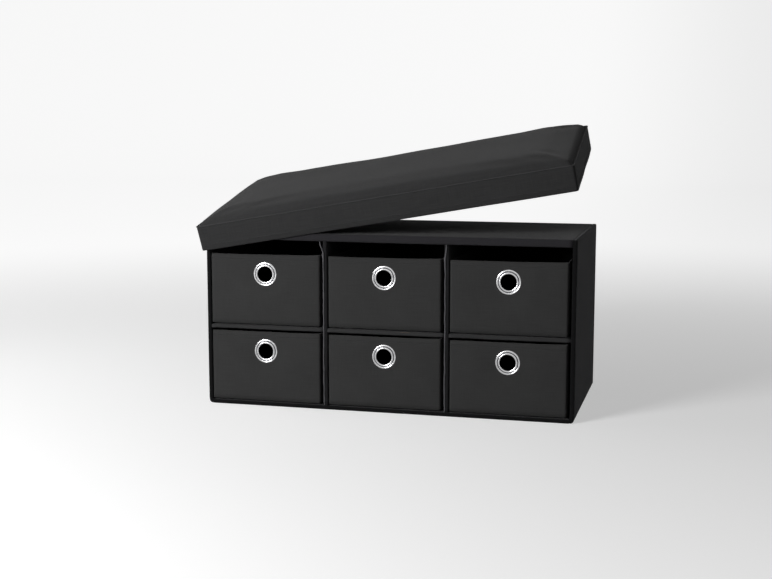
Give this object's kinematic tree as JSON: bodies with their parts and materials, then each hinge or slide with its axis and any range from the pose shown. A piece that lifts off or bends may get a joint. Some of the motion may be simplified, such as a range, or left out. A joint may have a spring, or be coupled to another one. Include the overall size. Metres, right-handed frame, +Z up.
{
  "type": "storage bench",
  "caption": "Fabric-covered storage bench with two rows of pull-out drawers with eyelet pulls and a loose padded lid, shown with the lid tipped up.",
  "frame": {"origin": "on the floor, under the middle of the body", "axes": "+X to the right along the length, -Y to the front where the drawers open, +Z up"},
  "size_m": [0.7928, 0.4111, 0.5794],
  "materials": {
    "lid_fabric": "charcoal woven polyester, fine streaky weave",
    "drawer_fabric": "charcoal woven polyester",
    "body_fabric": "charcoal woven polyester",
    "edge_tape": "black woven binding tape",
    "lining_fabric": "black non-woven",
    "stiff_board": "raw fibreboard",
    "seat_foam": "open-cell foam",
    "eyelet_metal": "bright nickel plated"
  },
  "bodies": {
    "carcass": {"back_board": "stiff_board", "back_cover": "body_fabric", "bottom_board": "stiff_board", "bottom_cover": "body_fabric", "front_binding": "edge_tape", "left_divider_board": "stiff_board", "left_divider_cover": "body_fabric", "left_shelf_board": "stiff_board", "left_shelf_cover": "body_fabric", "left_side_board": "stiff_board", "left_side_cover": "body_fabric", "middle_shelf_board": "stiff_board", "middle_shelf_cover": "body_fabric", "right_divider_board": "stiff_board", "right_divider_cover": "body_fabric", "right_shelf_board": "stiff_board", "right_shelf_cover": "body_fabric", "right_side_board": "stiff_board", "right_side_cover": "body_fabric", "top_board": "stiff_board", "top_cover": "body_fabric", "top_front_rail": "body_fabric"},
    "lid": {"lid_board": "stiff_board", "lid_cover": "lid_fabric", "lid_foam": "seat_foam", "lid_lining": "lining_fabric", "lid_skirt_strips": "stiff_board"},
    "lower_left_drawer": {"lower_left_base_board": "stiff_board", "lower_left_drawer": "drawer_fabric", "lower_left_eyelet": "eyelet_metal", "lower_left_eyelet_washer": "eyelet_metal", "lower_left_front_board": "stiff_board"},
    "lower_middle_drawer": {"lower_middle_base_board": "stiff_board", "lower_middle_drawer": "drawer_fabric", "lower_middle_eyelet": "eyelet_metal", "lower_middle_eyelet_washer": "eyelet_metal", "lower_middle_front_board": "stiff_board"},
    "lower_right_drawer": {"lower_right_base_board": "stiff_board", "lower_right_drawer": "drawer_fabric", "lower_right_eyelet": "eyelet_metal", "lower_right_eyelet_washer": "eyelet_metal", "lower_right_front_board": "stiff_board"},
    "upper_left_drawer": {"upper_left_base_board": "stiff_board", "upper_left_drawer": "drawer_fabric", "upper_left_eyelet": "eyelet_metal", "upper_left_eyelet_washer": "eyelet_metal", "upper_left_front_board": "stiff_board"},
    "upper_middle_drawer": {"upper_middle_base_board": "stiff_board", "upper_middle_drawer": "drawer_fabric", "upper_middle_eyelet": "eyelet_metal", "upper_middle_eyelet_washer": "eyelet_metal", "upper_middle_front_board": "stiff_board"},
    "upper_right_drawer": {"upper_right_base_board": "stiff_board", "upper_right_drawer": "drawer_fabric", "upper_right_eyelet": "eyelet_metal", "upper_right_eyelet_washer": "eyelet_metal", "upper_right_front_board": "stiff_board"}
  },
  "joints": [
    {"name": "lid_tilt", "type": "hinge", "parent": "carcass", "child": "lid", "pos_m": [-0.38915, -0.19929, 0.3348], "axis": [0.7181, -0.6874, 0.1085], "range_deg": [-14.33, 20]},
    {"name": "lower_left_slide", "type": "slide", "parent": "carcass", "child": "lower_left_drawer", "axis": [0, -1, 0], "range_m": [0, 0.34]},
    {"name": "lower_middle_slide", "type": "slide", "parent": "carcass", "child": "lower_middle_drawer", "axis": [0, -1, 0], "range_m": [0, 0.34]},
    {"name": "lower_right_slide", "type": "slide", "parent": "carcass", "child": "lower_right_drawer", "axis": [0, -1, 0], "range_m": [0, 0.34]},
    {"name": "upper_left_slide", "type": "slide", "parent": "carcass", "child": "upper_left_drawer", "axis": [0, -1, 0], "range_m": [0, 0.34]},
    {"name": "upper_middle_slide", "type": "slide", "parent": "carcass", "child": "upper_middle_drawer", "axis": [0, -1, 0], "range_m": [0, 0.34]},
    {"name": "upper_right_slide", "type": "slide", "parent": "carcass", "child": "upper_right_drawer", "axis": [0, -1, 0], "range_m": [0, 0.34]}
  ]
}
